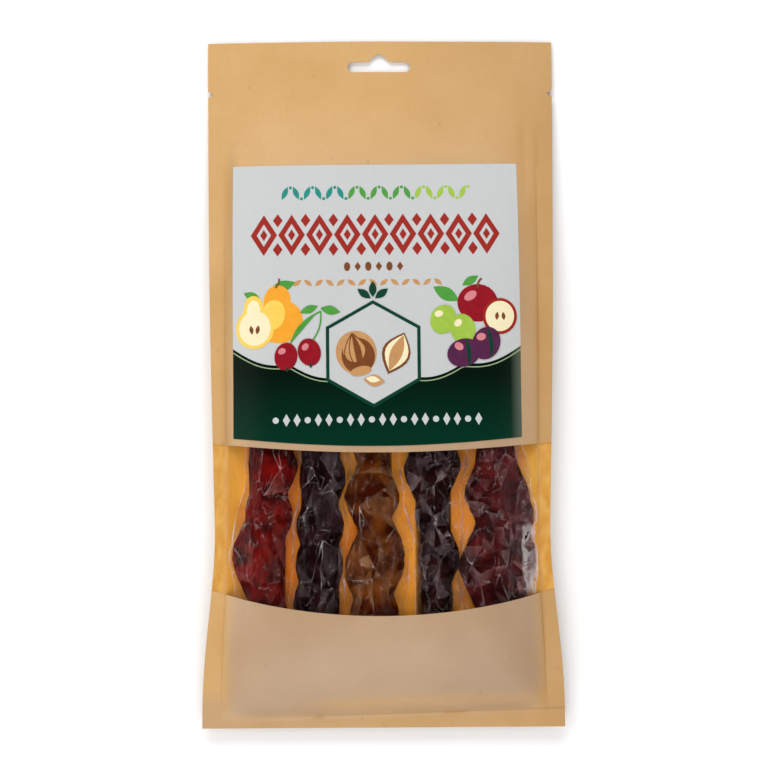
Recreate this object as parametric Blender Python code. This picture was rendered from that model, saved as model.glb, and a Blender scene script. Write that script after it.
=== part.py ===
"""A flat brown paper hang pouch, lying on its back, with five churchkhela sticks behind a clear window.

Metres, +Z up. +Y runs to the pouch's top edge, with the hang slot, and the window looks up.
The origin is under the middle of the pouch, on the surface that it lies on.
"""

import math
import random

import bmesh
import bpy

# Pouch
LENGTH = 0.333
WIDTH = 0.170
PAPER = 0.0008            # one wall, thicker than real paper so that it makes a solid
JOIN = 0.0002             # how deep the front wall sinks into the back wall where they are sealed
TOP_ARCH = 0.0010         # the top edge is this much lower at its corners
SIDE_SEAL = 0.0085
SEAL_TURN = 0.0030        # a side seal tilts and looks this much narrower beside the fill
BOTTOM_SEAL = 0.0066
SEAL_SLANT = 0.032        # the bottom seal's inner line rises this steeply to the right
WAIST = 0.0058            # how far the fill draws each side edge in
WAIST_Y = -0.075
WAIST_FOOT_Y = -0.160
WAIST_POWER = 1.4

# Fill: how high the walls stand, and where along the pouch
SEAM_FULL = 0.0095        # height of the side seams beside the fill
SEAM_TOP = 0.0014         # height of the sheet at the top edge
SEAM_FOOT = 0.0055        # height of the bottom seal
FRONT_RISE = 0.0132       # front wall above the side seams
FILL_START_Y = 0.134      # the front starts to rise here, below the plain header
FILL_FULL_Y = 0.008
FOOT_RISE = 0.052         # length of the rounded end over the bottom seal
FOOT_POWER = 0.75         # 0.5 would make it elliptical; this one starts less steeply
CROWN_POWER = 5.0         # how flat the front is between its sides
FLAT_HALF = 0.045         # half width of the flat spot on the back

# Window, cut right across the front. Its edges hang lower in the middle
WINDOW_TOP_Y = -0.0385
WINDOW_TOP_SAG = 0.0050
WINDOW_FOOT_Y = -0.1140
WINDOW_FOOT_SAG = 0.0115
FILM = 0.0004
FILM_DROP = 0.0001        # the film lies this much below the paper's face
GAP = 0.0003

# Label on the front
LABEL_WIDTH = 0.136
LABEL_X = -0.0022
LABEL_TOP_Y = 0.1031
LABEL_SLANT = 0.0010      # the left corner of its top edge is this much lower
LABEL_FOOT_Y = -0.0355
LABEL_FOOT_SAG = 0.0042
LABEL = 0.0003

# Hang slot: a long round-ended bar with a rounded bump on its upper side
SLOT_X = -0.0005
SLOT_Y = 0.1535
SLOT_LENGTH = 0.0310
SLOT_HEIGHT = 0.0053
BUMP_FOOT = 0.0095
BUMP_HEIGHT = 0.0038

# Tear notch in each side edge
NOTCH_Y = 0.1395
NOTCH_DEPTH = 0.0024
NOTCH_HEIGHT = 0.0034
NOTCH_TIP = 0.2           # share of its height that the blunt tip keeps

# Sticks: walnut halves on a thread, dipped in thick grape must
STICK_TOP_Y = 0.050
STICK_FOOT_Y = -0.147
STICK_THICKNESS = 0.0200
MUST_SHARE = 0.84         # thickness between the nuts as a share of the full one
STICK_AXIS_Z = 0.0115
STICK_GAP = 0.0005        # room left to the walls
# Where the paper hides them: from nut to nut, and the ranges of a nut's shift, of how much
# wider it is than the must, and of its half length
NUT_PITCH = 0.021
PITCH_RANGE = (0.9, 1.1)
SHIFT_RANGE = (-0.0012, 0.0012)
WIDER_RANGE = (0.0012, 0.0024)
LENGTH_RANGE = (0.0105, 0.0130)
NUT_BLEND = 8             # how sharply one nut's lump meets the next
END_ROUND = 0.011
RINGS = 46
RING_POINTS = 12
SEEN_TOP_Y = -0.028       # the rings lie closer together where the window shows them
SEEN_FOOT_Y = -0.118
SEEN_SHARE = 0.62
SEED = 27

# Each stick: its thread's x, half width between nuts, colour, and the nuts that the window shows.
# A nut is its place along the stick, its shift to the right, its half width and its half length.
STICKS = (
    ("stick_cherry_red", -0.0545, 0.0090, (0.105, 0.006, 0.005), (
        (-0.0445, 0.0035, 0.0115, 0.0110),
        (-0.0670, 0.0010, 0.0115, 0.0130),
        (-0.0865, -0.0045, 0.0125, 0.0150),
        (-0.1160, -0.0010, 0.0115, 0.0130),
    )),
    ("stick_dark_grape", -0.0295, 0.0092, (0.017, 0.004, 0.005), (
        (-0.0290, 0.0010, 0.0115, 0.0130),
        (-0.0500, 0.0015, 0.0110, 0.0130),
        (-0.0725, 0.0000, 0.0115, 0.0120),
        (-0.0905, -0.0005, 0.0115, 0.0130),
        (-0.1085, -0.0025, 0.0105, 0.0130),
    )),
    ("stick_amber_brown", -0.0040, 0.0080, (0.115, 0.030, 0.008), (
        (-0.0275, -0.0025, 0.0110, 0.0130),
        (-0.0590, -0.0010, 0.0135, 0.0110),
        (-0.0860, 0.0040, 0.0105, 0.0155),
        (-0.0930, -0.0010, 0.0135, 0.0160),
        (-0.1140, 0.0000, 0.0120, 0.0130),
    )),
    ("stick_black_grape", 0.0245, 0.0072, (0.014, 0.004, 0.004), (
        (-0.0430, 0.0020, 0.0110, 0.0090),
        (-0.0465, -0.0020, 0.0130, 0.0120),
        (-0.0670, -0.0020, 0.0076, 0.0110),
        (-0.0875, 0.0020, 0.0100, 0.0130),
        (-0.1070, 0.0010, 0.0076, 0.0105),
    )),
    ("stick_plum", 0.0535, 0.0085, (0.050, 0.010, 0.012), (
        (-0.0435, 0.0005, 0.0102, 0.0135),
        (-0.0575, 0.0005, 0.0160, 0.0110),
        (-0.0680, 0.0055, 0.0130, 0.0110),
        (-0.0885, 0.0045, 0.0146, 0.0195),
        (-0.0920, -0.0035, 0.0155, 0.0080),
        (-0.1160, 0.0010, 0.0120, 0.0130),
    )),
)

# Grids of the sheets: cells on each side of the middle line, and rows along
SIDE_CELLS = 8
BACK_ROWS = 30
FRONT_ROWS = 18
FOOT_ROWS = 11
FILM_ROWS = 12
LABEL_ROWS = 14

# The cutters reach through both walls
CUT_LOW = -0.005
CUT_HIGH = 0.015

TOP_Y = LENGTH / 2
FOOT_Y = -LENGTH / 2
FILL_FOOT_Y = FOOT_Y + BOTTOM_SEAL


def smooth(t):
    """A soft step from 0 to 1."""
    t = min(max(t, 0.0), 1.0)
    return t * t * (3.0 - 2.0 * t)


def waist(y):
    """How much the side edges are drawn in: 0 at the ends, 1 at the fullest place."""
    if y > WAIST_Y:
        return ((TOP_Y - y) / (TOP_Y - WAIST_Y)) ** WAIST_POWER
    return smooth((y - WAIST_FOOT_Y) / (WAIST_Y - WAIST_FOOT_Y))


def half_width(y):
    return WIDTH / 2 - WAIST * waist(min(y, TOP_Y))


def inner_half(y):
    """Half width between the side seals."""
    return half_width(y) - SIDE_SEAL + SEAL_TURN * waist(min(y, TOP_Y))


def fullness(x, y):
    """0 where the two walls lie on each other, 1 where the sticks hold them fully apart."""
    if y > FILL_FULL_Y:
        return smooth((FILL_START_Y - y) / (FILL_START_Y - FILL_FULL_Y))
    t = min(max((y - FILL_FOOT_Y - SEAL_SLANT * x) / FOOT_RISE, 0.0), 1.0)
    return (1.0 - (1.0 - t) ** 2) ** FOOT_POWER


def seam(y):
    """Height of the seams, which is the plane where the two walls meet."""
    if y > 0.0:
        return SEAM_FULL + (SEAM_TOP - SEAM_FULL) * smooth(y / TOP_Y)
    return SEAM_FOOT + (SEAM_FULL - SEAM_FOOT) * smooth((y - FOOT_Y) / FOOT_RISE)


def front_face(x, y):
    """Outer face of the front wall."""
    t = min(abs(x) / inner_half(y), 1.0)
    crown = math.sqrt(1.0 - t ** CROWN_POWER)
    return seam(y) + PAPER + FRONT_RISE * fullness(x, y) * crown


def back_face(x, y):
    """Outer face of the back wall: flat at the bottom, turned up to the seams."""
    u = min(max((abs(x) - FLAT_HALF) / (inner_half(y) - FLAT_HALF), 0.0), 1.0)
    belly = math.sqrt(1.0 - u * u)
    return (seam(y) - PAPER) * (1.0 - fullness(x, y) * belly)


def top_edge(x):
    return TOP_Y - TOP_ARCH * (x / (WIDTH / 2)) ** 2


def foot_edge(x):
    return FOOT_Y


def window_top(x):
    return WINDOW_TOP_Y + WINDOW_TOP_SAG * (x / half_width(WAIST_Y)) ** 2


def window_foot(x):
    return WINDOW_FOOT_Y + WINDOW_FOOT_SAG * (x / half_width(WAIST_Y)) ** 2


def label_top(x):
    return LABEL_TOP_Y - LABEL_SLANT * (0.5 - (x - LABEL_X) / LABEL_WIDTH)


def label_foot(x):
    return LABEL_FOOT_Y + LABEL_FOOT_SAG * (2.0 * (x - LABEL_X) / LABEL_WIDTH) ** 2


def pouch_column(step, y):
    """x of a grid line: one cell for each side seal, the others closer together near the seals."""
    if abs(step) > SIDE_CELLS:
        return math.copysign(half_width(y), step)
    return inner_half(y) * math.sin(math.pi / 2 * step / SIDE_CELLS)


def label_column(step, y):
    """x of a grid line on the label, closer together where the front turns down."""
    return LABEL_X + LABEL_WIDTH / 2 * math.sin(math.pi / 2 * step / (SIDE_CELLS + 1))


def plain_material(name, colour, roughness, alpha=1.0):
    material = bpy.data.materials.new(name)
    material.use_nodes = True
    shader = material.node_tree.nodes["Principled BSDF"]
    shader.inputs["Base Color"].default_value = (*colour, 1.0)
    shader.inputs["Roughness"].default_value = roughness
    shader.inputs["Metallic"].default_value = 0.0
    shader.inputs["Alpha"].default_value = alpha
    return material


def add_object(name, bm, material=None):
    mesh = bpy.data.meshes.new(name)
    bmesh.ops.recalc_face_normals(bm, faces=bm.faces)
    bm.to_mesh(mesh)
    bm.free()
    if material:
        mesh.materials.append(material)
    mesh.shade_smooth()
    mesh.set_sharp_from_angle(angle=math.radians(40.0))
    obj = bpy.data.objects.new(name, mesh)
    bpy.context.scene.collection.objects.link(obj)
    return obj


def sheet(name, rows, column, foot, top, lower, upper, material=None):
    """A closed sheet between the heights lower and upper, from the edge foot to the edge top."""
    bm = bmesh.new()
    cells = 2 * (SIDE_CELLS + 1)
    bmesh.ops.create_grid(bm, x_segments=cells, y_segments=rows, size=1.0)
    for vert in bm.verts:
        step = vert.co.x * (SIDE_CELLS + 1)
        share = (vert.co.y + 1.0) / 2.0
        x = column(step, 0.0)
        for _ in range(3):
            y = foot(x) + share * (top(x) - foot(x))
            x = column(step, y)
        vert.co = (x, y, upper(x, y))
    sides = bmesh.ops.extrude_face_region(bm, geom=bm.faces[:])
    for item in sides["geom"]:
        if isinstance(item, bmesh.types.BMVert):
            item.co.z = lower(item.co.x, item.co.y)
    return add_object(name, bm, material)


def prism(name, outline, low, high):
    """A cutter: a flat outline drawn through from low to high."""
    bm = bmesh.new()
    face = bm.faces.new([bm.verts.new((x, y, low)) for x, y in outline])
    raised = bmesh.ops.extrude_face_region(bm, geom=[face])
    corners = [item for item in raised["geom"] if isinstance(item, bmesh.types.BMVert)]
    bmesh.ops.translate(bm, verts=corners, vec=(0.0, 0.0, high - low))
    return add_object(name, bm)


def hide_as_cutter(obj):
    obj.hide_render = True
    obj.display_type = "WIRE"
    return obj


def boolean(obj, other, operation):
    modifier = obj.modifiers.new(other.name, "BOOLEAN")
    modifier.operation = operation
    modifier.solver = "EXACT"
    modifier.object = hide_as_cutter(other)


def slot_outline():
    """Round-ended bar with a bump on its upper side, counter-clockwise."""
    radius = SLOT_HEIGHT / 2
    reach = SLOT_LENGTH / 2 - radius
    points = []
    for side, start in ((-1, 90.0), (1, -90.0)):
        for step in range(7):
            angle = math.radians(start + 30.0 * step)
            points.append((SLOT_X + side * reach + radius * math.cos(angle),
                           SLOT_Y + radius * math.sin(angle)))
    for step in range(9):
        share = 1.0 - step / 4.0
        rise = BUMP_HEIGHT * math.cos(math.pi / 2 * share) ** 0.8
        points.append((SLOT_X + BUMP_FOOT / 2 * share, SLOT_Y + radius + rise))
    return points


def notch_outline(side):
    """A blunt wedge cut into the side edge."""
    edge = side * half_width(NOTCH_Y)
    outside = edge + side * 0.002
    depth = edge - side * NOTCH_DEPTH
    half = NOTCH_HEIGHT / 2
    return ((outside, NOTCH_Y - half), (edge, NOTCH_Y - half), (depth, NOTCH_Y - NOTCH_TIP * half),
            (depth, NOTCH_Y + NOTCH_TIP * half), (edge, NOTCH_Y + half), (outside, NOTCH_Y + half))


def front_underside(x, y):
    return front_face(x, y) - PAPER - JOIN


def back_inside(x, y):
    return back_face(x, y) + PAPER


def build_pouch():
    """Back wall with the front wall's two stretches sealed to it, the hang slot and the notches cut."""
    kraft = plain_material("kraft_paper", (0.680, 0.420, 0.175), 0.62)
    pouch = sheet("pouch", BACK_ROWS, pouch_column, foot_edge, top_edge, back_face, back_inside, kraft)
    upper = sheet("front_upper", FRONT_ROWS, pouch_column, window_top, top_edge,
                  front_underside, front_face)
    lower = sheet("front_lower", FOOT_ROWS, pouch_column, foot_edge, window_foot,
                  front_underside, front_face)
    boolean(pouch, upper, "UNION")
    boolean(pouch, lower, "UNION")
    boolean(pouch, prism("slot_cutter", slot_outline(), CUT_LOW, CUT_HIGH), "DIFFERENCE")
    boolean(pouch, prism("notch_left", notch_outline(-1), CUT_LOW, CUT_HIGH), "DIFFERENCE")
    boolean(pouch, prism("notch_right", notch_outline(1), CUT_LOW, CUT_HIGH), "DIFFERENCE")
    return pouch


def build_window():
    """The clear film that closes the gap in the front wall, from side edge to side edge."""
    clear = plain_material("clear_film", (0.9, 0.9, 0.9), 0.06, 0.25)

    def foot(x):
        return window_foot(x) + GAP

    def top(x):
        return window_top(x) - GAP

    def lower(x, y):
        return front_face(x, y) - FILM_DROP - FILM

    def upper(x, y):
        return front_face(x, y) - FILM_DROP

    return sheet("window_film", FILM_ROWS, pouch_column, foot, top, lower, upper, clear)


def build_label():
    """The stuck-on label, bent over the front wall."""
    satin = plain_material("label_paper", (0.66, 0.67, 0.67), 0.35)

    def lower(x, y):
        return front_face(x, y) + GAP

    def upper(x, y):
        return front_face(x, y) + GAP + LABEL

    return sheet("label", LABEL_ROWS, label_column, label_foot, label_top, lower, upper, satin)


def hidden_nuts(rng, seen, base):
    """Nuts along the stretches that the paper hides, above and below those that show."""
    nuts = []
    first = max(nut[0] for nut in seen)
    last = min(nut[0] for nut in seen)
    for start, end, way in ((first, STICK_TOP_Y, 1), (last, STICK_FOOT_Y, -1)):
        y = start + way * NUT_PITCH
        while way * (end - y) > END_ROUND * 0.6:
            nuts.append((y, rng.uniform(*SHIFT_RANGE), base + rng.uniform(*WIDER_RANGE),
                         rng.uniform(*LENGTH_RANGE)))
            y += way * NUT_PITCH * rng.uniform(*PITCH_RANGE)
    return nuts


def nut_reach(nut, y, sine, cosine):
    """How far a nut reaches from the thread in one direction, 0 where it doesn't."""
    place, shift, half, length = nut
    slice_share = 1.0 - ((y - place) / length) ** 2
    if slice_share <= 0.0:
        return 0.0
    wide = half * math.sqrt(slice_share)
    tall = STICK_THICKNESS / 2 * math.sqrt(slice_share)
    k = (cosine / wide) ** 2 + (sine / tall) ** 2
    b = shift * cosine / wide ** 2
    inside = b * b - k * ((shift / wide) ** 2 - 1.0)
    if inside <= 0.0:
        return 0.0
    return max((b + math.sqrt(inside)) / k, 0.0)


def stick_reach(nuts, base, y, angle):
    """Distance from the thread to the surface: the nuts and the must between them, blended."""
    sine, cosine = math.sin(angle), math.cos(angle)
    tall = STICK_THICKNESS / 2 * MUST_SHARE
    plain = 1.0 / math.hypot(cosine / base, sine / tall)
    total = plain ** NUT_BLEND + sum(nut_reach(nut, y, sine, cosine) ** NUT_BLEND for nut in nuts)
    reach = total ** (1.0 / NUT_BLEND)
    to_end = min(STICK_TOP_Y - y, y - STICK_FOOT_Y)
    if to_end < END_ROUND:
        reach *= math.sqrt(max(1.0 - (1.0 - to_end / END_ROUND) ** 2, 0.0))
    return reach


def ring_place(step):
    """y of a ring, from the top end down, with most rings where the window shows the stick."""
    share = step / RINGS
    above = (1.0 - SEEN_SHARE) * (STICK_TOP_Y - SEEN_TOP_Y)
    below = (1.0 - SEEN_SHARE) * (SEEN_FOOT_Y - STICK_FOOT_Y)
    top_share = above / (above + below) * (1.0 - SEEN_SHARE)
    if share < top_share:
        return STICK_TOP_Y + (SEEN_TOP_Y - STICK_TOP_Y) * share / top_share
    if share < top_share + SEEN_SHARE:
        return SEEN_TOP_Y + (SEEN_FOOT_Y - SEEN_TOP_Y) * (share - top_share) / SEEN_SHARE
    rest = 1.0 - top_share - SEEN_SHARE
    return SEEN_FOOT_Y + (STICK_FOOT_Y - SEEN_FOOT_Y) * (share - top_share - SEEN_SHARE) / rest


def between_walls(x, y, z):
    """Keeps a point of a stick between the back wall and the front wall or film."""
    low = back_inside(x, y) + STICK_GAP
    high = front_face(x, y) - PAPER - JOIN - STICK_GAP
    return min(max(z, low), max(high, low + GAP))


def between_sticks(left, right, y):
    """x halfway between the sides of two neighbouring sticks, each a (thread x, base, nuts)."""
    left_side = left[0] + stick_reach(left[2], left[1], y, 0.0)
    right_side = right[0] - stick_reach(right[2], right[1], y, math.pi)
    return (left_side + right_side) / 2


def build_stick(name, colour, stick, left, right):
    """One stick, its lumps kept off the neighbours on its left and right."""
    thread_x, base, nuts = stick
    bm = bmesh.new()
    bmesh.ops.create_cone(bm, cap_ends=True, segments=RING_POINTS, radius1=1.0, radius2=1.0, depth=1.0)
    shaft = [edge for edge in bm.edges if abs(edge.verts[0].co.z - edge.verts[1].co.z) > 0.5]
    bmesh.ops.subdivide_edges(bm, edges=shaft, cuts=RINGS - 3, use_grid_fill=True)
    for vert in bm.verts:
        step = 1.0 + (0.5 - vert.co.z) * (RINGS - 2)
        y = ring_place(step)
        angle = math.atan2(vert.co.x, vert.co.y)
        reach = stick_reach(nuts, base, y, angle)
        x = thread_x + reach * math.cos(angle)
        if left:
            x = max(x, between_sticks(left, stick, y) + GAP)
        if right:
            x = min(x, between_sticks(stick, right, y) - GAP)
        z = STICK_AXIS_Z + reach * math.sin(angle)
        vert.co = (x, y, between_walls(x, y, z))
    return add_object(name, bm, plain_material(name + "_must", colour, 0.28))


def main():
    for obj in list(bpy.data.objects):
        bpy.data.objects.remove(obj, do_unlink=True)
    build_pouch()
    build_window()
    build_label()
    rng = random.Random(SEED)
    row = []
    for _, thread_x, base, _, seen in STICKS:
        row.append((thread_x, base, list(seen) + hidden_nuts(rng, seen, base)))
    for index, (name, _, _, colour, _) in enumerate(STICKS):
        left = row[index - 1] if index else None
        right = row[index + 1] if index + 1 < len(row) else None
        build_stick(name, colour, row[index], left, right)


main()
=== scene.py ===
"""Looks of a pack of churchkhela: a brown paper hang pouch with a label and a clear window band,
and five wrapped sticks behind the window. The pack lies on its back. Metres, +Z up."""

import math
import random

import bmesh
import bpy
import numpy as np
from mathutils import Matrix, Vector, noise


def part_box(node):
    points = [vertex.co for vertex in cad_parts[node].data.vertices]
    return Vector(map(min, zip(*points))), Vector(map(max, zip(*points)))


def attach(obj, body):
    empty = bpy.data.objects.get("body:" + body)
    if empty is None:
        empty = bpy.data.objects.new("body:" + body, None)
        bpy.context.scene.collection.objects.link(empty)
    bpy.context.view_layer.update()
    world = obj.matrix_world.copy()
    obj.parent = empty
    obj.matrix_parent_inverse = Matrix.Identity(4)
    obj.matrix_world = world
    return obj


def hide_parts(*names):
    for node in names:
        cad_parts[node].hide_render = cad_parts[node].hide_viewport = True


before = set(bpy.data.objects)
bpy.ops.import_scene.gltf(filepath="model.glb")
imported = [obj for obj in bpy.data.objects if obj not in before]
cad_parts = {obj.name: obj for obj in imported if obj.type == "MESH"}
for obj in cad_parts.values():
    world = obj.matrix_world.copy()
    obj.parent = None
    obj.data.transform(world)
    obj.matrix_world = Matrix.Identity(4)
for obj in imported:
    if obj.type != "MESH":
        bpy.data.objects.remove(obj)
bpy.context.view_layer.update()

# Sizes of the pouch, from the frame where it gives them
POUCH_LOW, POUCH_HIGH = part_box("pouch")
WIDTH = POUCH_HIGH[0] - POUCH_LOW[0]
TOP_Y = POUCH_HIGH[1]
FOOT_Y = POUCH_LOW[1]
FRONT_TOP = POUCH_HIGH[2]
PAPER = 0.00028
TOP_ARCH = 0.0010
SIDE_SEAL = 0.0085
SEAL_TURN = 0.0030
BOTTOM_SEAL = 0.0062
SEAL_SLANT = 0.027          # the bottom seal's inner line rises to the right
WAIST = 0.0058
WAIST_Y = -0.075
WAIST_FOOT_Y = -0.160
SEAM_FULL = 0.0095
SEAM_TOP = 0.0014
SEAM_FOOT = 0.0055
FILL_START_Y = 0.134
FILL_FULL_Y = 0.008
FILL_FOOT_Y = FOOT_Y + BOTTOM_SEAL
FOOT_RISE = 0.052
FOOT_POWER = 0.75
CROWN_POWER = 5.0
FILM_CROWN_POWER = 7.0
FLAT_HALF = 0.045
DENT_X = 0.0705             # a soft dent and a small crease in the right of the header
DENT_DEPTH = 0.0005
DENT_HALF = 0.0026
CREASE_Y = 0.1005
CREASE_HALF = 0.0008
CREASE_RISE = 0.00016
LINING_Z = 0.0108           # height to which the lining is pressed up beside the sticks

# Painted shades of the paper and the lining: where they lie, and the colour that they multiply by
HOLLOW_X = -0.0730          # painted shade in the hollow beside the label's left edge
HOLLOW_HALF = 0.0028
HOLLOW_SHADE = (0.80, 0.80, 0.80, 1.0)
# painted shade: the paper a little darker towards the right
RIGHT_SHADE = (0.87, 0.86, 0.88, 1.0)
# painted shade over the lining's left strip
LEFT_SHADE = (0.86, 0.75, 0.58, 1.0)
SEAL_SHADOW_LINE = 0.0009           # half width of the painted shadow line along the bottom seal's inner edge
STRIP_X = 0.062             # the lining's paler strips beside the sticks start here
WELD_X = 0.0715             # and the side seals here

# Window and label outlines
WINDOW_TOP_Y = -0.0385
WINDOW_TOP_SAG = 0.0050
WINDOW_FOOT_Y = -0.1140
WINDOW_FOOT_SAG = 0.0115
FILM_TUCK = 0.0030          # how far the film runs on under the paper
FILM = 0.00006
FILM_SAG = 0.0009           # how far it is drawn down between two sticks
PAPER_DIP = 0.00035         # and how far the paper dips there
LABEL_LOW, LABEL_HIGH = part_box("label")
LABEL_WIDTH = LABEL_HIGH[0] - LABEL_LOW[0]
LABEL_X = (LABEL_HIGH[0] + LABEL_LOW[0]) / 2
LABEL_TOP_Y = LABEL_HIGH[1]
LABEL_TURN = 0.0045         # the label is stuck on very slightly askew
LABEL_SPREAD = 0.016        # and lies flatter, so a little wider, towards its top
LABEL_FOOT_Y = LABEL_LOW[1]
LABEL_FOOT_SAG = 0.0042
LABEL = 0.00014
GLUE = 0.00003              # room between the front and the label
INK = 0.00005
PRINT_TOP_Y = LABEL_TOP_Y - 0.0036

# Hang slot and tear notches
SLOT_X = -0.0005
SLOT_Y = 0.1535
SLOT_LENGTH = 0.0310
SLOT_HEIGHT = 0.0053
BUMP_FOOT = 0.0095
BUMP_HEIGHT = 0.0038
NOTCH_Y = 0.1395
NOTCH_DEPTH = 0.0024
NOTCH_HEIGHT = 0.0034
CUT_LOW = -0.005
CUT_HIGH = 0.015

# Sticks: walnut halves on a thread, dipped in thick grape must, each in its own clear wrap
STICK_TOP_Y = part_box("stick_plum")[1][1]
STICK_FOOT_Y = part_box("stick_plum")[0][1]
STICK_THICKNESS = 0.0200
STICK_AXIS_Z = 0.0115
NUT_PITCH = 0.021
NUT_BLEND = 8
END_ROUND = 0.011
SEED = 27

# A stick: its thread's x, half width between nuts, dark and bright colour of its must, colour of
# the painted sheen on its wrap, the width of the wrap's flat fins left and right, how strong the
# painted sheen on its wrap is, and the nuts that the window shows. A nut is its place along the
# stick, its shift to the right, its half width and its half length
STICKS = {
    "stick_cherry_red": (-0.0545, 0.0090, "300202", "760C0A", "B5655D", (0.0008, 0.0036), 0.50, (
        (-0.0445, 0.0035, 0.0115, 0.0110),
        (-0.0670, 0.0010, 0.0115, 0.0130),
        (-0.0865, -0.0045, 0.0125, 0.0150),
        (-0.1160, -0.0010, 0.0115, 0.0130),
    )),
    "stick_dark_grape": (-0.0295, 0.0092, "120304", "281214", "A69093", (0.0014, 0.0026), 0.50, (
        (-0.0290, 0.0010, 0.0115, 0.0130),
        (-0.0500, 0.0015, 0.0110, 0.0130),
        (-0.0725, 0.0000, 0.0115, 0.0120),
        (-0.0905, -0.0005, 0.0115, 0.0130),
        (-0.1085, -0.0025, 0.0105, 0.0130),
    )),
    "stick_amber_brown": (-0.0040, 0.0080, "3A0E01", "723A10", "B58965", (0.0016, 0.0062), 0.95, (
        (-0.0275, -0.0025, 0.0110, 0.0130),
        (-0.0590, -0.0010, 0.0135, 0.0110),
        (-0.0860, 0.0040, 0.0105, 0.0155),
        (-0.0930, -0.0010, 0.0135, 0.0160),
        (-0.1140, 0.0000, 0.0120, 0.0130),
    )),
    "stick_black_grape": (0.0245, 0.0072, "120202", "2A1010", "A68E90", (0.0020, 0.0044), 0.85, (
        (-0.0430, 0.0020, 0.0110, 0.0090),
        (-0.0465, -0.0020, 0.0130, 0.0120),
        (-0.0670, -0.0020, 0.0076, 0.0110),
        (-0.0875, 0.0020, 0.0100, 0.0130),
        (-0.1070, 0.0010, 0.0076, 0.0105),
    )),
    "stick_plum": (0.0535, 0.0085, "260506", "5A1A1B", "B58989", (0.0016, 0.0014), 1.30, (
        (-0.0435, 0.0005, 0.0102, 0.0135),
        (-0.0575, 0.0005, 0.0160, 0.0110),
        (-0.0680, 0.0055, 0.0130, 0.0110),
        (-0.0885, 0.0045, 0.0146, 0.0195),
        (-0.0920, -0.0035, 0.0155, 0.0080),
        (-0.1160, 0.0010, 0.0120, 0.0130),
    )),
}

# Fineness of the meshes
SIDE_CELLS = 52
SEAL_CELLS = 4
ROW_LENGTH = 0.0017
STICK_POINTS = 56
STICK_RINGS = 230


# Surfaces

def smooth(t):
    """A soft step from 0 to 1."""
    t = min(max(t, 0.0), 1.0)
    return t * t * (3.0 - 2.0 * t)


def bell(distance, half):
    """1 at no distance, falling softly away on both sides."""
    return math.exp(-(distance / half) ** 2)


def waist(y):
    """How much the side edges are drawn in: 0 at the ends, 1 at the fullest place."""
    if y > WAIST_Y:
        return (max(TOP_Y - y, 0.0) / (TOP_Y - WAIST_Y)) ** 1.4
    return smooth((y - WAIST_FOOT_Y) / (WAIST_Y - WAIST_FOOT_Y))


def half_width(y):
    return WIDTH / 2 - WAIST * waist(y)


def inner_half(y):
    """Half width between the side seals."""
    return half_width(y) - SIDE_SEAL + SEAL_TURN * waist(y)


def fullness(x, y):
    """0 where the two walls lie on each other, 1 where the sticks hold them fully apart."""
    if y > FILL_FULL_Y:
        return smooth((FILL_START_Y - y) / (FILL_START_Y - FILL_FULL_Y))
    t = min(max((y - FILL_FOOT_Y - SEAL_SLANT * x) / FOOT_RISE, 0.0), 1.0)
    return (1.0 - (1.0 - t) ** 2) ** FOOT_POWER


def seam(y):
    """Height of the plane where the two walls meet."""
    if y > 0.0:
        return SEAM_FULL + (SEAM_TOP - SEAM_FULL) * smooth(y / TOP_Y)
    return SEAM_FOOT + (SEAM_FULL - SEAM_FOOT) * smooth((y - FOOT_Y) / FOOT_RISE)


def crown(x, y):
    """Cross-section of the front: 1 in the middle, 0 at the side seals."""
    t = min(abs(x) / inner_half(y), 1.0)
    return (1.0 - t ** CROWN_POWER) ** 0.7


THREADS = [stick[0] for stick in STICKS.values()]


def between_threads(x):
    """0 over a stick and beyond the outer ones, 1 halfway between two sticks."""
    for left, right in zip(THREADS, THREADS[1:]):
        if left < x < right:
            return math.sin(math.pi * (x - left) / (right - left)) ** 2
    return 0.0


def rumple(x, y, size, layer):
    """Smooth random height from -1 to 1, with lumps of about that size."""
    return noise.noise(Vector((x / size, y / size, layer)))


def meeting(x, y):
    """Height where the two walls meet: the seam's, with the slight cockling of sealed paper."""
    height = 0.00045 * rumple(x, y, 0.05, 11.0) + 0.00006 * rumple(x, y, 0.014, 5.0)
    height -= DENT_DEPTH * bell(x - DENT_X, DENT_HALF) * smooth((y - 0.075) / 0.02) \
        * smooth((0.134 - y) / 0.015)
    height += CREASE_RISE * bell(y - CREASE_Y - 0.25 * (x - DENT_X), CREASE_HALF) \
        * smooth((x - 0.066) / 0.003) * smooth((0.081 - x) / 0.003)
    pucker = math.exp(-abs(inner_half(y) - abs(x)) / 0.006) * fullness(x, y)
    return seam(y) + height + 0.00025 * pucker * rumple(0.0, y, 0.010, math.copysign(7.0, x))


def bulge(x, y):
    """How far the front wall stands above the meeting height: the fill, dipping between sticks."""
    rise = FRONT_TOP - SEAM_FULL - PAPER - 0.0007
    dip = PAPER_DIP * between_threads(x) * smooth((0.085 - y) / 0.03)
    slack = 0.00030 * rumple(x, y * 0.8, 0.045, 2.0) + 0.00008 * rumple(x, y, 0.016, 3.0)
    return (rise - dip + slack) * fullness(x, y) * crown(x, y)


def front_face(x, y):
    """Outer face of the front wall."""
    return meeting(x, y) + PAPER + bulge(x, y)


def front_inside(x, y):
    return front_face(x, y) - PAPER * 0.6


def back_face(x, y):
    """Outer face of the back wall: flat where it rests, turned up to the seams."""
    u = min(max((abs(x) - FLAT_HALF) / (inner_half(y) - FLAT_HALF), 0.0), 1.0)
    return (meeting(x, y) - PAPER) * (1.0 - fullness(x, y) * math.sqrt(1.0 - u * u))


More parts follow.
